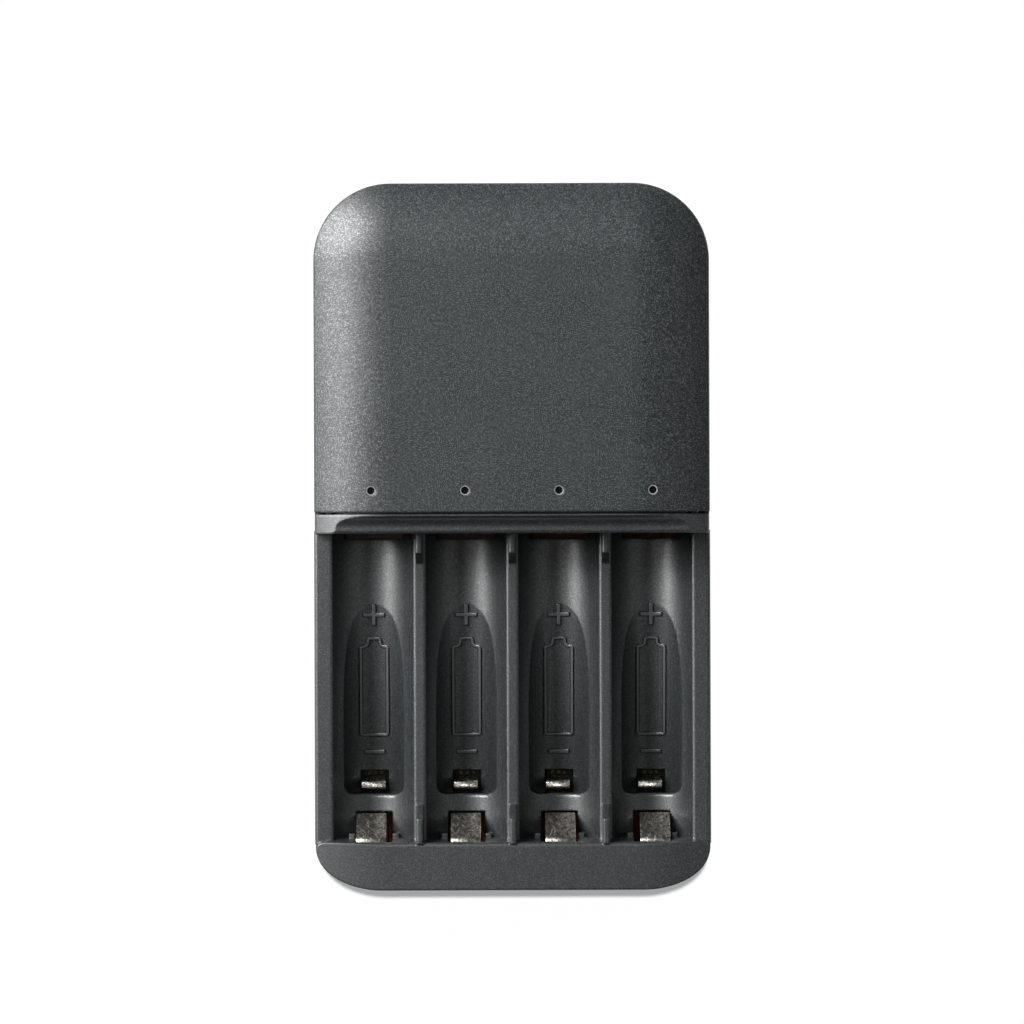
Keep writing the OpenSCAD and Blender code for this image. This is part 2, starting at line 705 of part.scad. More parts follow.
module transformer_core() {
  y = 2.6 * part_k;
  color("darkslategray") translate([0, core_y, board_top]) difference() {
    box([-core_half, -y, 1.2], [core_half, y, 15.2]);
    for (x = [-core_slot, core_leg])
      box([x, -y - 1, 4], [x + core_slot - core_leg, y + 1, 12.4]);
  }
}

module transformer_winding() {
  y = 2.6 * part_k;
  w = core_slot - 0.2;
  color("gold") translate([0, core_y, board_top]) difference() {
    union() {
      box([-w, -5 * part_k, 4.2], [w, 5 * part_k, 12.2]);
      box([-w - 1.6, -5.2 * part_k, 0], [w + 1.6, 5.2 * part_k, 1.2]);
      for (s = [-4, 4])
        box([-w, (s - 1) * part_k, 0.5], [w, (s + 1) * part_k, 5]);
    }
    box([-core_leg, -y, 1.2], [core_leg, y, 15.2]);
    box([-core_half - 1, -y, 1.2], [core_half + 1, y, 4]);
    box([-core_half - 1, -y, 12.4], [core_half + 1, y, 15.2]);
  }
}

module can(x, r, h) {
  translate([x, can_y, board_top]) cylinder(r = r * part_k, h = h);
}

module mains_capacitor() {
  color("navy") can(-20, 5, 16);
}

module output_capacitor() {
  color("navy") can(20, 4, 13);
}

module fuse() {
  color("sienna") box([15, parts_y, board_top], [22, parts_y + 0.22 * parts_l, board_top + 8]);
}

module rectifier() {
  color("black") box([-22.5, parts_y, board_top], [-14.8, parts_y + 0.3 * parts_l, board_top + 3]);
}

module controller_chip() {
  color("black") box([-5, head_y - 10, board_top], [5, head_y - 6, board_top + 1.6]);
}

module status_led(i) {
  translate([bay_x(i), lights_y, board_top]) {
    cylinder(r = led_r + 0.3, h = 1);
    cylinder(r = led_r, h = led_top - board_top);
  }
}

module status_led_1() {
  color("lightgray") status_led(1);
}

module status_led_2() {
  color("lightgray") status_led(2);
}

module status_led_3() {
  color("lightgray") status_led(3);
}

module status_led_4() {
  color("lightgray") status_led(4);
}

// Rod that carries the light from an LED up to its hole
module light_pipe(i) {
  seat = crown_z(abs(bay_x(i)) + 1, wall) - 0.15;
  translate([bay_x(i), lights_y, led_top + 0.2]) cylinder(r = 1, h = seat - led_top - 0.2);
  translate([bay_x(i), lights_y, seat - 0.5])
    cylinder(d = light_d - 0.2, h = crown_z(bay_x(i), 0) - 0.45 - seat + 0.5);
}

module light_pipe_1() {
  color("white") light_pipe(1);
}

module light_pipe_2() {
  color("white") light_pipe(2);
}

module light_pipe_3() {
  color("white") light_pipe(3);
}

module light_pipe_4() {
  color("white") light_pipe(4);
}

// Upright strip at the head, with a dimple where the cell's button touches
module positive_contact(i) {
  y = head_y + 0.12;
  dimple_r = 2.6;
  color("silver") {
    box([bay_x(i) - plus_leaf_w / 2, y, board_top + 1.2], [bay_x(i) + plus_leaf_w / 2, y + leaf_t, ledge_z - 2]);
    intersection() {
      translate([bay_x(i), plus_y + dimple_r, aa_axis_z]) sphere(dimple_r);
      box([bay_x(i) - 4, plus_y - 1, aa_axis_z - 4], [bay_x(i) + 4, y + leaf_t / 2, aa_axis_z + 4]);
    }
  }
}

module positive_contact_1() {
  positive_contact(1);
}

module positive_contact_2() {
  positive_contact(2);
}

module positive_contact_3() {
  positive_contact(3);
}

module positive_contact_4() {
  positive_contact(4);
}

// Leaf of width w on a path, with a rolled root
module rolled_leaf(x, w, root, p) {
  along_x(x - w / 2, x + w / 2) polygon(ribbon(p, leaf_t));
  translate([x, root[0], root[1]]) rotate([0, 90, 0]) cylinder(r = 0.65, h = w, center = true);
}

// From its board up, over the top, and down a ramp towards the cell
module aa_contact(i) {
  root = [lip_y - 3.2, board_top + 0.75];
  top = lip_z - wall - 1.3;
  crest = plus_y - aa_len + 0.3;
  p = path([root, [root[0], top - 0.3], [lip_y + 0.25, top], [crest, aa_floor_z + 1],
            [crest - 0.7, aa_floor_z - 0.9]], 0.6);
  color("silver") rolled_leaf(aa_contact_x(i), aa_leaf_w, root, p);
}

module aa_contact_1() {
  aa_contact(1);
}

module aa_contact_2() {
  aa_contact(2);
}

module aa_contact_3() {
  aa_contact(3);
}

module aa_contact_4() {
  aa_contact(4);
}

// A hook that stands in the window: up from the board, over a flat top, and down a steep face towards the cell
module aaa_contact(i) {
  root = [aaa_end_y + 0.95, board_top + 0.75];
  top = aa_floor_z - sheet - 0.9;
  crest = aaa_end_y + 2.9;
  p = path([root, [root[0], top], [root[0] + 1.05, top], [crest, board_top + 1.5]], 0.35);
  color("silver") rolled_leaf(aaa_contact_x(i), aaa_leaf_w, root, p);
}

module aaa_contact_1() {
  aaa_contact(1);
}

module aaa_contact_2() {
  aaa_contact(2);
}

module aaa_contact_3() {
  aaa_contact(3);
}

module aaa_contact_4() {
  aaa_contact(4);
}

rear_housing();
front_housing();
top_cover();
plug_hub();
plug_blade_left();
plug_blade_right();
plug_retainer();
retainer_screws();
case_screws();
ac_spring_left();
ac_spring_right();
circuit_board();
positive_board();
negative_board();
transformer_core();
transformer_winding();
mains_capacitor();
output_capacitor();
fuse();
rectifier();
controller_chip();
status_led_1();
status_led_2();
status_led_3();
status_led_4();
light_pipe_1();
light_pipe_2();
light_pipe_3();
light_pipe_4();
positive_contact_1();
positive_contact_2();
positive_contact_3();
positive_contact_4();
aa_contact_1();
aa_contact_2();
aa_contact_3();
aa_contact_4();
aaa_contact_1();
aaa_contact_2();
aaa_contact_3();
aaa_contact_4();
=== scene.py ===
import math

import bmesh
import bpy
from mathutils import Matrix, Vector


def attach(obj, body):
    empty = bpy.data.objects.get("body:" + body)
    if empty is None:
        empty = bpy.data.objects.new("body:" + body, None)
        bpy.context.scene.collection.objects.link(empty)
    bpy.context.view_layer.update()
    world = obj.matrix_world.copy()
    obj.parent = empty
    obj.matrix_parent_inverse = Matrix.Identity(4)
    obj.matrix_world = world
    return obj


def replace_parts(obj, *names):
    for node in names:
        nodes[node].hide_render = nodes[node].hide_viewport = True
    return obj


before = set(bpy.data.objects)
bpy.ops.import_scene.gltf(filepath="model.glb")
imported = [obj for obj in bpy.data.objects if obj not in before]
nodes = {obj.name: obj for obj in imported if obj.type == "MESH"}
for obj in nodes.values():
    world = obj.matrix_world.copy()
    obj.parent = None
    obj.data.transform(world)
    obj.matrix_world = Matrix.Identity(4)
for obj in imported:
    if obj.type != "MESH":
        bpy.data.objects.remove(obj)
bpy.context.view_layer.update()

# Sizes of the charger that the looks need, in metres, the same as in the part's source
MM = 0.001
BAYS = 4
BAY_PITCH = 16.6 * MM
AA_RADIUS = 7.35 * MM
AAA_RADIUS = 5.4 * MM
AAA_TILT = math.radians(9)
AA_FLOOR_Z = 12 * MM
AA_AXIS_Z = AA_FLOOR_Z + AA_RADIUS
AAA_AXIS_Z = AA_FLOOR_Z + AAA_RADIUS + 1.95 * MM
SLOPE_Y = 0.0
AAA_END_Y = -46.05 * MM
LIGHTS_Y = 8.4 * MM
LIGHT_HOLE_R = 0.675 * MM
COVER_TOP_Z = 30 * MM
CROWN_R = 24 * MM
CROWN_FLAT = 21.4 * MM
BOARD_TOP_Z = 4.6 * MM
SOLDER_Y = AAA_END_Y + 3.5 * MM
SOLDER_STEP = 1.1 * MM
SCREWS = [
    (25.9 * MM, 51.7 * MM), (-25.9 * MM, 51.7 * MM),
    (16.6 * MM, -58.2 * MM), (-16.6 * MM, -58.2 * MM)]


def bay_x(i):
    """Middle of bay i, counted from 0 on the left."""
    return (i - (BAYS - 1) / 2) * BAY_PITCH


def floor_z(x, y):
    """Height of the trough floor at x from the bay's middle: the lower of the two crossing troughs."""
    aa = AA_AXIS_Z - math.sqrt(max(AA_RADIUS ** 2 - x * x, 0))
    drop = (SLOPE_Y - y) * math.tan(AAA_TILT)
    aaa = AAA_AXIS_Z - drop - math.sqrt(max(AAA_RADIUS ** 2 - x * x, 0)) / math.cos(AAA_TILT)
    return min(aa, aaa)


def cover_z(x):
    """Height of the cover's crown at x."""
    over = max(abs(x) - CROWN_FLAT, 0)
    return COVER_TOP_Z - CROWN_R + math.sqrt(CROWN_R ** 2 - over ** 2)


# Shader helpers
def add_node(tree, kind, inputs=None, **settings):
    """A node with its settings, and each input linked to a socket or set to a value."""
    made = tree.nodes.new(kind)
    for name, value in settings.items():
        setattr(made, name, value)
    for name, value in (inputs or {}).items():
        if isinstance(value, bpy.types.NodeSocket):
            tree.links.new(value, made.inputs[name])
        else:
            made.inputs[name].default_value = value
    return made


def maths(tree, operation, a, b=0.0):
    """One sum on two values or sockets."""
    return add_node(tree, "ShaderNodeMath", {0: a, 1: b}, operation=operation).outputs[0]


def spread(tree, value, low, high, to_low=0.0, to_high=1.0):
    """A value's range from low to high, stretched to a new range."""
    made = add_node(tree, "ShaderNodeMapRange", {
        "Value": value, "From Min": low, "From Max": high, "To Min": to_low, "To Max": to_high})
    return made.outputs["Result"]


def blend_colour(tree, factor, a, b):
    """A mix of two colours."""
    made = add_node(tree, "ShaderNodeMix", data_type="RGBA")
    for slot, value in ((0, factor), (6, a), (7, b)):
        if isinstance(value, bpy.types.NodeSocket):
            tree.links.new(value, made.inputs[slot])
        else:
            made.inputs[slot].default_value = value
    return made.outputs[2]


def new_group(name, inputs, outputs):
    """An empty shader node group with float inputs and named outputs."""
    tree = bpy.data.node_groups.new(name, "ShaderNodeTree")
    for label, value in inputs.items():
        socket = tree.interface.new_socket(label, in_out="INPUT", socket_type="NodeSocketFloat")
        socket.default_value = value
    for label in outputs:
        tree.interface.new_socket(label, in_out="OUTPUT", socket_type="NodeSocketFloat")
    return tree, tree.nodes.new("NodeGroupInput").outputs, tree.nodes.new("NodeGroupOutput")


def grain_group():
    """Spark-eroded mould texture: height, bright flecks and slow tone changes."""
    tree, given, out = new_group("Moulded Grain", {"Scale": 3600.0}, ("Height", "Fleck", "Tone"))
    place = tree.nodes.new("ShaderNodeTexCoord").outputs["Object"]
    fine = add_node(tree, "ShaderNodeTexNoise", {
        "Vector": place, "Scale": given["Scale"], "Detail": 0.6, "Roughness": 0.5})
    cells = add_node(tree, "ShaderNodeTexVoronoi", {"Vector": place, "Scale": given["Scale"]})
    pits = add_node(tree, "ShaderNodeTexNoise", {
        "Vector": place, "Scale": maths(tree, "MULTIPLY", given["Scale"], 0.37), "Detail": 1.0})
    slow = add_node(tree, "ShaderNodeTexNoise", {"Vector": place, "Scale": 70.0, "Detail": 3.0})
    height = maths(tree, "ADD", fine.outputs["Fac"], maths(tree, "MULTIPLY", pits.outputs["Fac"], 0.4))
    fleck = spread(tree, cells.outputs["Distance"], 0.32, 0.02)
    lucky = add_node(tree, "ShaderNodeSeparateColor", {"Color": cells.outputs["Color"]})
    fleck = maths(tree, "MULTIPLY", fleck, spread(tree, lucky.outputs[0], 0.55, 1.0))
    tree.links.new(height, out.inputs["Height"])
    tree.links.new(fleck, out.inputs["Fleck"])
    tree.links.new(slow.outputs["Fac"], out.inputs["Tone"])
    return tree


def scratch_group():
    """Handling marks on sheet metal: two sets of drawn-out scratches and cloudy stain."""
    tree, given, out = new_group("Metal Scratches", {"Scale": 1.0}, ("Scratch", "Stain", "Height"))
    place = tree.nodes.new("ShaderNodeTexCoord").outputs["Object"]
    lines = []
    for turn, stretch in ((0.3, (4200.0, 260.0, 900.0)), (-0.9, (3100.0, 320.0, 700.0))):
        turned = add_node(tree, "ShaderNodeMapping", {"Vector": place, "Rotation": (0.0, 0.0, turn)})
        drawn = add_node(tree, "ShaderNodeMapping", {"Vector": turned.outputs[0], "Scale": stretch})
        streak = add_node(tree, "ShaderNodeTexNoise", {
            "Vector": drawn.outputs[0], "Scale": given["Scale"], "Detail": 2.0})
        lines.append(spread(tree, streak.outputs["Fac"], 0.56, 0.72))
    marks = maths(tree, "MAXIMUM", lines[0], lines[1])
    stain = add_node(tree, "ShaderNodeTexNoise", {"Vector": place, "Scale": 1900.0, "Detail": 4.0})
    tree.links.new(marks, out.inputs["Scratch"])
    tree.links.new(spread(tree, stain.outputs["Fac"], 0.38, 0.62), out.inputs["Stain"])
    dents = maths(tree, "MULTIPLY", stain.outputs["Fac"], 2.0)
    grooves = maths(tree, "MULTIPLY", marks, 0.5)
    tree.links.new(maths(tree, "SUBTRACT", dents, grooves), out.inputs["Height"])
    return tree


def fibre_group():
    """Pressed paper or glass cloth in a board: crossing fibres and specks."""
    tree, given, out = new_group("Board Fibre", {"Scale": 1.0}, ("Fibre", "Speck"))
    place = tree.nodes.new("ShaderNodeTexCoord").outputs["Object"]
    ways = []
    for stretch in ((350.0, 2600.0, 2600.0), (2600.0, 350.0, 2600.0)):
        drawn = add_node(tree, "ShaderNodeMapping", {"Vector": place, "Scale": stretch})
        streak = add_node(tree, "ShaderNodeTexNoise", {
            "Vector": drawn.outputs[0], "Scale": given["Scale"], "Detail": 2.0})
        ways.append(streak.outputs["Fac"])
    speck = add_node(tree, "ShaderNodeTexNoise", {"Vector": place, "Scale": 2400.0, "Detail": 3.0})
    tree.links.new(maths(tree, "MULTIPLY", ways[0], ways[1]), out.inputs["Fibre"])
    tree.links.new(spread(tree, speck.outputs["Fac"], 0.6, 0.72), out.inputs["Speck"])
    return tree


GRAIN = grain_group()
SCRATCHES = scratch_group()
FIBRE = fibre_group()


def new_material(name, group, scale):
    """A material with one of the shared effects in it: its tree, shader and the effect's outputs."""
    mat = bpy.data.materials.new(name)
    mat.use_nodes = True
    tree = mat.node_tree
    effect = add_node(tree, "ShaderNodeGroup", node_tree=group)
    effect.inputs["Scale"].default_value = scale
    return mat, tree, tree.nodes["Principled BSDF"], effect.outputs


def relief(tree, shader, height, strength, depth, edge=0.0):
    """Bump from a height, on a normal that turns softly over the sharp edges."""
    bump = add_node(tree, "ShaderNodeBump", {"Height": height, "Strength": strength, "Distance": depth})
    if edge:
        soft = add_node(tree, "ShaderNodeBevel", {"Radius": edge}, samples=6)
        tree.links.new(soft.outputs["Normal"], bump.inputs["Normal"])
    tree.links.new(bump.outputs["Normal"], shader.inputs["Normal"])


def plastic(name, tint, rough, grain_scale, depth=0.01 * MM, sparkle=0.3, sheen=0.5, edge=0.0):
    """Moulded plastic whose eroded grain varies its tone and its gloss, as far as sparkle says."""
    mat, tree, shader, grain = new_material(name, GRAIN, grain_scale)
    level = maths(tree, "POWER", spread(tree, grain["Height"], 0.55, 0.92), 2.0)
    level = maths(tree, "ADD", level, maths(tree, "MULTIPLY", grain["Fleck"], 0.3))
    level = maths(tree, "ADD", level, spread(tree, grain["Tone"], 0.3, 0.7, -0.03, 0.03))
    dark = [c * (1 - 0.25 * sparkle) for c in tint]
    light = [c * (1 + 0.58 * sparkle) for c in tint]
    tree.links.new(blend_colour(tree, level, (*dark, 1), (*light, 1)), shader.inputs["Base Color"])
    gloss = spread(tree, level, 0.0, 1.0, rough + 0.012 * sparkle, rough - 0.036 * sparkle)
    tree.links.new(gloss, shader.inputs["Roughness"])
    tree.links.new(maths(tree, "MULTIPLY", level, 0.3 * sparkle), shader.inputs["Coat Weight"])
    shader.inputs["Coat Roughness"].default_value = rough
    shader.inputs["Specular IOR Level"].default_value = sheen
    relief(tree, shader, grain["Height"], 1.0, depth, edge)
    return mat


def metal(name, dull, bright, rough, scale, depth=0.004 * MM):
    """Plated or bare sheet metal, stained, dented and scratched."""
    mat, tree, shader, marks = new_material(name, SCRATCHES, scale)
    colour = blend_colour(tree, marks["Stain"], (*dull, 1), (*bright, 1))
    colour = blend_colour(tree, maths(tree, "MULTIPLY", marks["Scratch"], 0.5), colour, (*bright, 1))
    tree.links.new(colour, shader.inputs["Base Color"])
    shader.inputs["Metallic"].default_value = 1.0
    gloss = spread(tree, marks["Stain"], 0.0, 1.0, rough + 0.1, rough)
    gloss = maths(tree, "ADD", gloss, maths(tree, "MULTIPLY", marks["Scratch"], 0.18))
    tree.links.new(gloss, shader.inputs["Roughness"])
    relief(tree, shader, marks["Height"], 1.0, depth)
    return mat


def board(name, dark, light, speck, rough, coat):
    """Board, paper or tape under a varnish: fibres with specks."""
    mat, tree, shader, fibre = new_material(name, FIBRE, 1.0)
    colour = blend_colour(tree, spread(tree, fibre["Fibre"], 0.12, 0.4), (*dark, 1), (*light, 1))
    colour = blend_colour(tree, maths(tree, "MULTIPLY", fibre["Speck"], 0.6), colour, (*speck, 1))
    tree.links.new(colour, shader.inputs["Base Color"])
    tree.links.new(spread(tree, fibre["Fibre"], 0.1, 0.5, rough, rough + 0.12), shader.inputs["Roughness"])
    shader.inputs["Coat Weight"].default_value = coat
    shader.inputs["Coat Roughness"].default_value = 0.15
    relief(tree, shader, fibre["Fibre"], 0.2, 0.02 * MM)
    return mat


# Finishes
COVER_TINT = (0.0316, 0.0376, 0.0390)
TRAY_TINT = (0.0234, 0.0274, 0.0287)
PLUG_TINT = (0.021, 0.021, 0.0225)
SOFT_EDGE = 0.5 * MM
REAR_EDGE = 1.5 * MM
FINE = 5600.0
DEEP = 0.025 * MM
cover_plastic = plastic("cover_plastic", COVER_TINT, 0.40, FINE, DEEP, 3.2, 0.66, SOFT_EDGE)
tray_plastic = plastic("tray_plastic", TRAY_TINT, 0.38, FINE, DEEP, 2.8, 1.25, SOFT_EDGE)
rear_plastic = plastic("rear_plastic", TRAY_TINT, 0.40, FINE, DEEP, 2.2, 0.68, REAR_EDGE)
# Ridge tops and sides of the polarity marks: the tray's own plastic, painted lighter on top as a highlight
# and near-black on the sides as shade
ridge_painted_highlight = plastic("ridge_painted_highlight", (0.066, 0.072, 0.074), 0.36, FINE, DEEP, 0.5, 1.4)
ridge_painted_shade = plastic("ridge_painted_shade", (0.006, 0.0065, 0.0067), 0.22, FINE, 0.0, 0.3, 0.3)
plug_plastic = plastic("plug_plastic", PLUG_TINT, 0.38, FINE, 0.01 * MM, 0.4, 0.5, SOFT_EDGE)
nickel = metal("contact_nickel", (0.20, 0.185, 0.155), (0.76, 0.73, 0.66), 0.25, 1.0, 0.014 * MM)
blade_metal = metal("blade_metal", (0.62, 0.58, 0.50), (0.82, 0.79, 0.72), 0.24, 0.6)
screw_steel = metal("screw_steel", (0.35, 0.35, 0.36), (0.62, 0.62, 0.63), 0.30, 0.8)
solder_tin = metal("solder_tin", (0.24, 0.17, 0.07), (0.46, 0.35, 0.17), 0.42, 1.4)
# Solder-mask green, made darker than its own colour as painted shade for the board seen at the bottom of
# the windows
green_board_painted_shade = board(
    "green_board_painted_shade", (0.004, 0.022, 0.009), (0.010, 0.042, 0.018), (0.03, 0.08, 0.04), 0.5, 0.1)
brown_board = board(
    "brown_board", (0.16, 0.040, 0.012), (0.34, 0.095, 0.026), (0.42, 0.16, 0.05), 0.45, 0.3)
ferrite = plastic("ferrite", (0.035, 0.035, 0.0355), 0.6, 2200.0)
winding_tape = board(
    "winding_tape", (0.62, 0.42, 0.03), (0.75, 0.55, 0.06), (0.82, 0.66, 0.15), 0.3, 0.6)
can_sleeve = plastic("can_sleeve", (0.014, 0.021, 0.075), 0.28, 1500.0)
fuse_body = plastic("fuse_body", (0.21, 0.085, 0.03), 0.4, 1800.0)
chip_black = plastic("chip_black", (0.02, 0.02, 0.02), 0.5, 2600.0)
led_lens = plastic("led_lens", (0.65, 0.66, 0.66), 0.2, 900.0, 0.0, 0.1)
pipe_plastic = plastic("pipe_plastic", (0.004, 0.004, 0.0035), 0.3, 900.0, sheen=0.15)
# Pale grey that paints the light caught by the chamfers round the indicator holes
ring_painted_highlight = plastic("ring_painted_highlight", (0.27, 0.275, 0.275), 0.4, 2400.0)

NODE_FINISH = {
    "top_cover": cover_plastic, "front_housing": tray_plastic, "rear_housing": rear_plastic,
    "plug_hub": plug_plastic, "plug_retainer": plug_plastic,
    "plug_blade_left": blade_metal, "plug_blade_right": blade_metal,
    "retainer_screws": screw_steel, "case_screws": screw_steel,
    "ac_spring_left": nickel, "ac_spring_right": nickel,
    "circuit_board": green_board_painted_shade, "positive_board": brown_board, "negative_board": brown_board,
    "transformer_core": ferrite, "transformer_winding": winding_tape,
    "mains_capacitor": can_sleeve, "output_capacitor": can_sleeve,
    "fuse": fuse_body, "rectifier": chip_black, "controller_chip": chip_black,
}
for bay in range(1, BAYS + 1):
    NODE_FINISH[f"status_led_{bay}"] = led_lens
    NODE_FINISH[f"light_pipe_{bay}"] = pipe_plastic
    for contact in ("positive", "aa", "aaa"):
        NODE_FINISH[f"{contact}_contact_{bay}"] = nickel
for name, finish in NODE_FINISH.items():
    mesh = nodes[name].data
    mesh.materials.clear()
    mesh.materials.append(finish)


# Mesh helpers
def make_piece(name, bm, finish, body="case", sharp=35):
    """Turns a bmesh into a piece that rides on a body, smooth but for its sharp edges."""
    bmesh.ops.recalc_face_normals(bm, faces=bm.faces)
    mesh = bpy.data.meshes.new(name)
    bm.to_mesh(mesh)
    bm.free()
    mesh.shade_smooth()
    mesh.set_sharp_from_angle(angle=math.radians(sharp))
    mesh.materials.append(finish)
    piece = bpy.data.objects.new(name, mesh)
    bpy.context.scene.collection.objects.link(piece)
    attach(piece, body)
    return piece


def flat_face(bm, corners):
    """A flat face from a few corners."""
    return bm.faces.new([bm.verts.new((x, y, 0)) for x, y in corners])


def slice_grid(bm, xs, ys):
    """Cuts lines across the mesh, so that it can bend with the floor."""
    for value, normal in [(x, (1, 0, 0)) for x in xs] + [(y, (0, 1, 0)) for y in ys]:
        at = Vector(normal) * value
        geom = bm.verts[:] + bm.edges[:] + bm.faces[:]
        bmesh.ops.bisect_plane(bm, geom=geom, plane_co=at, plane_no=normal, dist=1e-7)


# Polarity signs: raised ridges on the trough floors, with a painted highlight on their tops and painted
# shade on their steep sides
RIDGE_W = 0.58 * MM
RIDGE_H = 0.4 * MM
RIDGE_SINK = 0.15 * MM
RIDGE_EDGE = 0.15 * MM
RIDGE_STEP = 0.4 * MM
CROWN_LEVEL = 0.85
PLUS_Y = -13.85 * MM
PLUS_ARM = 1.95 * MM
PLUS_BAR = 0.4 * MM
CELL_TOP_Y = -17.8 * MM
CELL_SHOULDER_Y = -19.3 * MM
CELL_END_Y = -35.8 * MM
CELL_HALF = 2.63 * MM
CELL_NUB = 1.35 * MM
CELL_ROUND = 0.6 * MM
MINUS_Y = -38.6 * MM
MINUS_ARM = 1.85 * MM
MINUS_BAR = 0.4 * MM


def plus_sign(bm):
    """The plus, as one flat face."""
    a, b = PLUS_ARM, PLUS_BAR
    quarter = [(b, -a), (b, -b), (a, -b), (a, b), (b, b), (b, a)]
    corners = quarter + [(-x, -y) for x, y in quarter]
    flat_face(bm, [(x, PLUS_Y + y) for x, y in corners])


def minus_sign(bm):
    """The minus, as one flat face."""
    a, b = MINUS_ARM, MINUS_BAR
    flat_face(bm, [(x, MINUS_Y + y) for x, y in ((-a, -b), (a, -b), (a, b), (-a, b))])


def cell_outline(bm):
    """The outline of a cell, as a flat ring with rounded corners."""
    w, n = CELL_HALF, CELL_NUB
    right = [(w, CELL_END_Y), (w, CELL_SHOULDER_Y), (n, CELL_SHOULDER_Y), (n, CELL_TOP_Y)]
    face = flat_face(bm, right + [(-x, y) for x, y in reversed(right)])
    bmesh.ops.bevel(bm, geom=face.verts[:], offset=CELL_ROUND, segments=4, profile=0.5,
                    affect="VERTICES", material=-1)
    face = max(bm.faces, key=lambda f: f.calc_area())
    bmesh.ops.inset_region(bm, faces=[face], thickness=RIDGE_W,
                            use_even_offset=True, use_boundary=True)
    bmesh.ops.delete(bm, geom=[max(bm.faces, key=lambda f: f.calc_area())], context="FACES")


def raise_ridge(bm):
    """Gives flat shapes their height, with rounded top edges, and gives the steep sides the second
    material, a painted shade.
    """
    base = bm.faces[:]
    made = bmesh.ops.extrude_face_region(bm, geom=base, use_keep_orig=True)["geom"]
    top = [v for v in made if isinstance(v, bmesh.types.BMVert)]
    bmesh.ops.translate(bm, verts=top, vec=(0, 0, RIDGE_H + RIDGE_SINK))
    bmesh.ops.recalc_face_normals(bm, faces=bm.faces)
    rim = [e for e in bm.edges if min(v.co.z for v in e.verts) > RIDGE_H and e.calc_face_angle(0) > 1]
    bmesh.ops.bevel(bm, geom=rim, offset=RIDGE_EDGE, segments=3, profile=0.5, affect="EDGES", material=-1)
    bmesh.ops.recalc_face_normals(bm, faces=bm.faces)
    # Faces turned up take the painted highlight, steep faces the painted shade
    for face in bm.faces:
        face.material_index = int(face.normal.z < CROWN_LEVEL)


def polarity_marks(i):
    """The plus, cell outline and minus of one bay, laid on the crossing troughs."""
    bm = bmesh.new()
    cuts = [k * RIDGE_STEP for k in range(-6, 7)]
    for sign in (plus_sign, cell_outline, minus_sign):
        shape = bmesh.new()
        sign(shape)
        raise_ridge(shape)
        slice_grid(shape, cuts, [PLUS_Y + y for y in cuts] if sign is plus_sign else [])
        flat = bpy.data.meshes.new("sign")
        shape.to_mesh(flat)
        shape.free()
        bm.from_mesh(flat)
        bpy.data.meshes.remove(flat)
    for v in bm.verts:
        v.co.z += floor_z(v.co.x, v.co.y) - RIDGE_SINK
    bmesh.ops.translate(bm, verts=bm.verts, vec=(bay_x(i), 0, 0))
    # Slot 0 is the painted highlight on the ridge tops, slot 1 the painted shade on their sides
    marks = make_piece(f"polarity_marks_{i + 1}", bm, ridge_painted_highlight)
    marks.data.materials.append(ridge_painted_shade)
    return marks


for bay in range(BAYS):
    polarity_marks(bay)


# Pale rings in the chamfers of the indicator holes: a painted highlight where the chamfers catch the light
RING_IN = LIGHT_HOLE_R - 0.01 * MM
RING_OUT = 0.89 * MM
RING_H = 0.24 * MM
RING_BELOW = 0.015 * MM
RING_TURN = 40


def highlight_ring(i):
    """A pale ring round one indicator light, turned from a small rounded section, as a painted highlight on
    the chamfer.
    """
    bm = bmesh.new()
    top = cover_z(bay_x(i)) - RING_BELOW
    inner_side = [(RING_IN, -RING_H), (RING_IN, -0.05 * MM), (RING_IN + 0.06 * MM, 0)]
    section = inner_side + [(RING_OUT - 0.04 * MM, 0), (RING_OUT, -RING_H)]
    corners = [bm.verts.new((r, 0, z)) for r, z in section]
    edges = [bm.edges.new((corners[k], corners[(k + 1) % len(corners)])) for k in range(len(corners))]
    bmesh.ops.spin(bm, geom=corners + edges, cent=(0, 0, 0), axis=(0, 0, 1), angle=math.tau,
                   steps=RING_TURN, use_merge=True)
    bmesh.ops.remove_doubles(bm, verts=bm.verts, dist=1e-7)
    bmesh.ops.translate(bm, verts=bm.verts, vec=(bay_x(i), LIGHTS_Y, top))
    return make_piece(f"highlight_ring_{i + 1}", bm, ring_painted_highlight)


for bay in range(BAYS):
    highlight_ring(bay)


# Soldered tails of the contacts, seen on the green board through the windows
PAD_R = 0.30 * MM
PAD_TOP_R = 0.27 * MM
PAD_H = 0.08 * MM
PAD_LIFT = 0.03 * MM
DOME_R = 0.20 * MM
DOME_STRETCH = 1.3


def solder_row(i):
    """Three soldered tails in their pads."""
    bm = bmesh.new()
    for k in (-1, 0, 1):
        at = Matrix.Translation((bay_x(i) + k * SOLDER_STEP, SOLDER_Y, BOARD_TOP_Z))
        pad = bmesh.ops.create_cone(bm, cap_ends=True, segments=24, radius1=PAD_R, radius2=PAD_TOP_R,
                                    depth=PAD_H, matrix=at)["verts"]
        bmesh.ops.translate(bm, verts=pad, vec=(0, 0, PAD_LIFT))
        dome = bmesh.ops.create_uvsphere(bm, u_segments=20, v_segments=12, radius=DOME_R,
                                         matrix=at)["verts"]
        bmesh.ops.scale(bm, verts=dome, vec=(1, 1, DOME_STRETCH), space=at.inverted())
    return make_piece(f"solder_row_{i + 1}", bm, solder_tin)


for bay in range(BAYS):
    solder_row(bay)

# Contact strips with rounded edges, in place of the sharp ones
STRIP_EDGE = 0.07 * MM


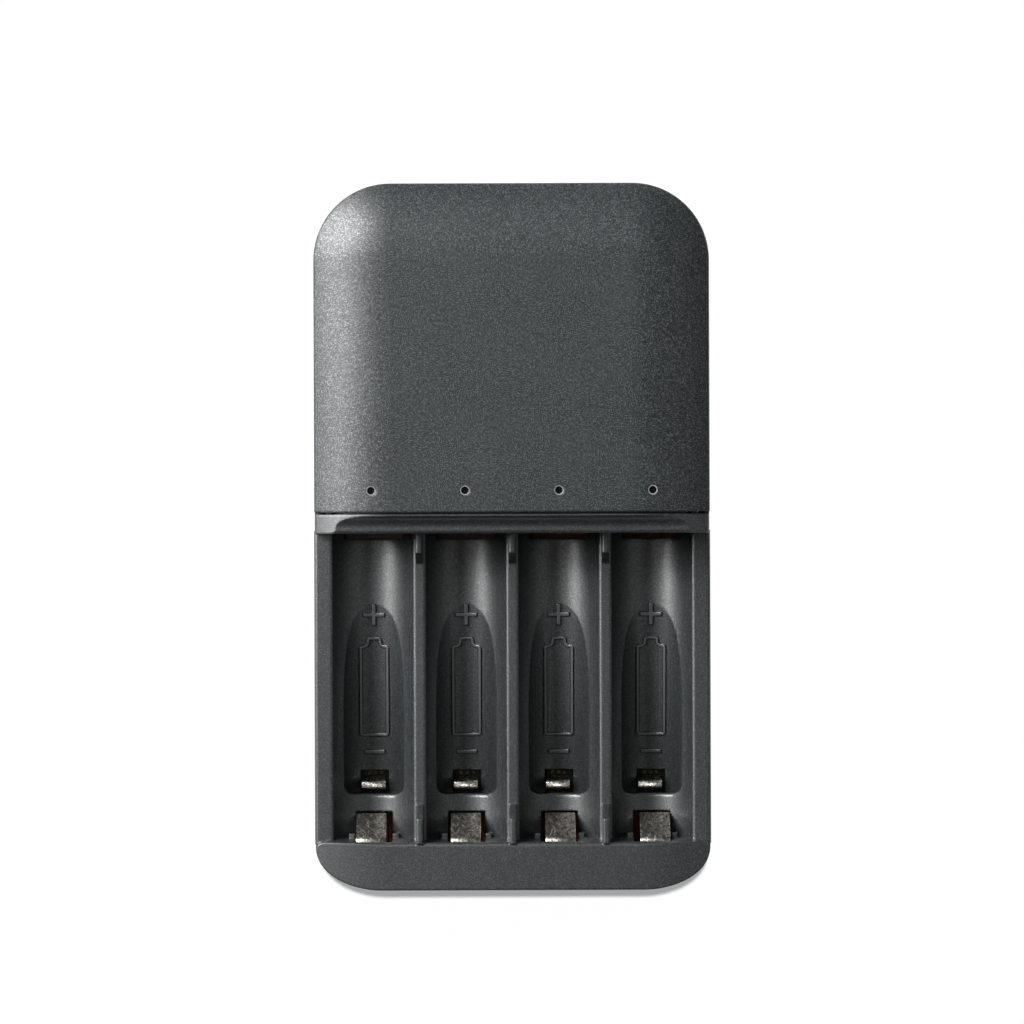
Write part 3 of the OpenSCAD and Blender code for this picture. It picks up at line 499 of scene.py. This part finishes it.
def soften_strip(name, body):
    """A copy of a contact with its edges rounded, so that they catch the light."""
    bm = bmesh.new()
    bm.from_mesh(nodes[name].data)
    bmesh.ops.remove_doubles(bm, verts=bm.verts, dist=1e-6)
    bmesh.ops.dissolve_limit(bm, angle_limit=math.radians(1), verts=bm.verts, edges=bm.edges)
    edges = [e for e in bm.edges if e.is_manifold and e.calc_face_angle() > math.radians(50)]
    bmesh.ops.bevel(bm, geom=edges, offset=STRIP_EDGE, segments=2, profile=0.5, affect="EDGES", material=-1)
    strip = make_piece(f"{name}_strip", bm, nickel, body)
    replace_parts(strip, name)
    return strip


aaa_strips = []
for bay in range(1, BAYS + 1):
    soften_strip(f"aa_contact_{bay}", f"aa_leaf_{bay}")
    aaa_strips.append(soften_strip(f"aaa_contact_{bay}", f"aaa_leaf_{bay}"))

# Cross-head screws in the back, in place of the plain ones
HEAD_R = 2.3 * MM
HEAD_Z = 1.2 * MM
HEAD_H = 1.8 * MM
HEAD_ROUND = 0.55 * MM
SHANK_R = 1.25 * MM
SHANK_TOP_Z = 18.5 * MM
CROSS_ARM = 1.35 * MM
CROSS_BAR = 0.32 * MM
CROSS_DEEP = 0.9 * MM


def cross_screw(bm, x, y):
    """One screw, its rounded head with the cross towards the back."""
    part = bmesh.new()
    at = Matrix.Translation((0, 0, -HEAD_H / 2))
    bmesh.ops.create_cone(part, cap_ends=True, segments=48, radius1=HEAD_R, radius2=HEAD_R,
                          depth=HEAD_H, matrix=at)
    rim = [e for e in part.edges if min(v.co.z for v in e.verts) > -1e-6]
    bmesh.ops.bevel(part, geom=rim, offset=HEAD_ROUND, segments=4, profile=0.5,
                    affect="EDGES", material=-1)
    lines = [-CROSS_ARM, -CROSS_BAR, CROSS_BAR, CROSS_ARM]
    slice_grid(part, lines, lines)
    cross = []
    for f in part.faces:
        c = f.calc_center_median()
        near, far = sorted((abs(c.x), abs(c.y)))
        if f.normal.z > 0.9 and c.z > -1e-5 and near < CROSS_BAR and far < CROSS_ARM:
            cross.append(f)
    made = bmesh.ops.extrude_face_region(part, geom=cross)["geom"]
    deep = [v for v in made if isinstance(v, bmesh.types.BMVert)]
    bmesh.ops.translate(part, verts=deep, vec=(0, 0, -CROSS_DEEP))
    bmesh.ops.scale(part, verts=deep, vec=(0.6, 0.6, 1))
    bmesh.ops.delete(part, geom=[f for f in cross if f.is_valid], context="FACES")
    length = SHANK_TOP_Z - HEAD_Z - HEAD_H
    at = Matrix.Translation((0, 0, -HEAD_H - length / 2 + 0.2 * MM))
    bmesh.ops.create_cone(part, cap_ends=True, segments=32, radius1=SHANK_R * 0.7, radius2=SHANK_R,
                          depth=length, matrix=at)
    bmesh.ops.rotate(part, verts=part.verts, cent=(0, 0, 0), matrix=Matrix.Rotation(math.pi, 3, "X"))
    bmesh.ops.translate(part, verts=part.verts, vec=(x, y, HEAD_Z))
    flat = bpy.data.meshes.new("screw")
    part.to_mesh(flat)
    part.free()
    bm.from_mesh(flat)
    bpy.data.meshes.remove(flat)


screws = bmesh.new()
for screw_x, screw_y in SCREWS:
    cross_screw(screws, screw_x, screw_y)
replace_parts(make_piece("cross_screws", screws, screw_steel), "case_screws")

# Floor: white under the camera, with the soft contact shadow
FLOOR_HALF = 4.0
FLOOR_Z = -0.1 * MM
FLOOR_GLOW = 0.34


def floor_material():
    """White floor that keeps the shadow, and is clear from below."""
    mat = bpy.data.materials.new("floor_white")
    mat.use_nodes = True
    tree = mat.node_tree
    tree.nodes.clear()
    out = tree.nodes.new("ShaderNodeOutputMaterial")
    diffuse = add_node(tree, "ShaderNodeBsdfDiffuse", {"Color": (0.9, 0.9, 0.9, 1)})
    path = tree.nodes.new("ShaderNodeLightPath")
    seen = maths(tree, "MAXIMUM", path.outputs["Is Camera Ray"], path.outputs["Is Glossy Ray"])
    seen = maths(tree, "MAXIMUM", seen, path.outputs["Is Transmission Ray"])
    glow = add_node(tree, "ShaderNodeEmission", {
        "Color": (1, 1, 1, 1), "Strength": maths(tree, "MULTIPLY", seen, FLOOR_GLOW)})
    both = add_node(tree, "ShaderNodeAddShader", {0: diffuse.outputs[0], 1: glow.outputs[0]})
    back = tree.nodes.new("ShaderNodeNewGeometry").outputs["Backfacing"]
    clear = tree.nodes.new("ShaderNodeBsdfTransparent")
    mixed = add_node(tree, "ShaderNodeMixShader", {0: back, 1: both.outputs[0], 2: clear.outputs[0]})
    tree.links.new(mixed.outputs[0], out.inputs["Surface"])
    return mat


floor_mesh = bmesh.new()
bmesh.ops.create_grid(floor_mesh, x_segments=1, y_segments=1, size=FLOOR_HALF,
                      matrix=Matrix.Translation((0, 0, FLOOR_Z)))
floor_data = bpy.data.meshes.new("floor")
floor_mesh.to_mesh(floor_data)
floor_mesh.free()
floor_data.materials.append(floor_material())
floor = bpy.data.objects.new("floor", floor_data)
bpy.context.scene.collection.objects.link(floor)

# World: dim fill, white where the camera looks past the floor
FILL = 0.04
world = bpy.data.worlds.new("studio")
bpy.context.scene.world = world
world.use_nodes = True
world_tree = world.node_tree
world_tree.nodes.clear()
world_path = world_tree.nodes.new("ShaderNodeLightPath")
fill_sky = add_node(world_tree, "ShaderNodeBackground", {"Color": (1, 1, 1, 1), "Strength": FILL})
seen_sky = add_node(world_tree, "ShaderNodeBackground", {"Color": (1, 1, 1, 1), "Strength": 1.0})
sky = add_node(world_tree, "ShaderNodeMixShader", {
    0: world_path.outputs["Is Camera Ray"], 1: fill_sky.outputs[0], 2: seen_sky.outputs[0]})
add_node(world_tree, "ShaderNodeOutputWorld", {"Surface": sky.outputs[0]})

# Lamps: soft ones at the left, overhead, right and below, one for the small contacts, one for the floor
KEY_WAY = Vector((-0.685, 0.43, 0.58)).normalized()
KEY_FAR = 0.7
KEY_SIZE = (0.54, 0.46)
KEY_WATTS = 11.5
TOP_WAY = Vector((-0.28, 0.08, 0.95)).normalized()
TOP_FAR = 0.8
TOP_SIZE = (0.45, 0.45)
TOP_WATTS = 0.36
RIGHT_WAY = Vector((0.70, 0.0, 0.70)).normalized()
RIGHT_FAR = 1.2
RIGHT_SIZE = (1.2, 0.9)
RIGHT_WATTS = 1.0
GLINT_WAY = Vector((0, -0.1, 1.0)).normalized()
GLINT_FAR = 1.05
GLINT_SIZE = (0.3, 0.14)
GLINT_WATTS = 1.3
UNDER_WAY = Vector((0.25, 0.35, -0.9)).normalized()
UNDER_FAR = 0.9
UNDER_SIZE = (0.6, 0.6)
UNDER_WATTS = 2.5
SUN_WAY = Vector((-0.012, 0.125, 1)).normalized()
SUN_STRENGTH = 2.2
SUN_SPREAD = math.radians(2)
AIM = Vector((0, 0, 15 * MM))


def soft_lamp(name, way, far, size, watts):
    """A rectangular lamp that looks at the object from a direction."""
    data = bpy.data.lights.new(name, "AREA")
    data.shape = "RECTANGLE"
    data.size = size[0]
    data.size_y = size[1]
    data.energy = watts
    lamp = bpy.data.objects.new(name, data)
    lamp.location = AIM + way * far
    lamp.rotation_euler = way.to_track_quat("Z", "Y").to_euler()
    bpy.context.scene.collection.objects.link(lamp)
    return lamp


key = soft_lamp("key_left", KEY_WAY, KEY_FAR, KEY_SIZE, KEY_WATTS)
top = soft_lamp("top_soft", TOP_WAY, TOP_FAR, TOP_SIZE, TOP_WATTS)
right = soft_lamp("fill_right", RIGHT_WAY, RIGHT_FAR, RIGHT_SIZE, RIGHT_WATTS)
glint = soft_lamp("overhead_glint", GLINT_WAY, GLINT_FAR, GLINT_SIZE, GLINT_WATTS)
under = soft_lamp("under_soft", UNDER_WAY, UNDER_FAR, UNDER_SIZE, UNDER_WATTS)
sun_data = bpy.data.lights.new("floor_sun", "SUN")
sun_data.energy = SUN_STRENGTH
sun_data.angle = SUN_SPREAD
sun = bpy.data.objects.new("floor_sun", sun_data)
sun.rotation_euler = SUN_WAY.to_track_quat("Z", "Y").to_euler()
bpy.context.scene.collection.objects.link(sun)

floor_only = bpy.data.collections.new("floor_light")
floor_only.objects.link(floor)
sun.light_linking.receiver_collection = floor_only
not_floor = bpy.data.collections.new("object_light")
not_floor.objects.link(floor)
not_floor.collection_objects[0].light_linking.link_state = "EXCLUDE"
for lamp in (key, top, right, under):
    lamp.light_linking.receiver_collection = not_floor
under.light_linking.blocker_collection = not_floor
folds_only = bpy.data.collections.new("fold_light")
for strip in aaa_strips:
    folds_only.objects.link(strip)
glint.light_linking.receiver_collection = folds_only

# Camera: straight above, as in the photograph
CAMERA_HIGH = 1.0
CAMERA_Y = 4.56 * MM
CAMERA_LENS = 193.3
CAMERA_ROLL = math.radians(-0.2)
camera_data = bpy.data.cameras.new("camera")
camera_data.sensor_width = 36
camera_data.lens = CAMERA_LENS
camera = bpy.data.objects.new("camera", camera_data)
camera.location = (0, CAMERA_Y, CAMERA_HIGH)
camera.rotation_euler = (0, 0, CAMERA_ROLL)
bpy.context.scene.collection.objects.link(camera)
bpy.context.scene.camera = camera
bpy.context.scene.view_settings.view_transform = "Standard"
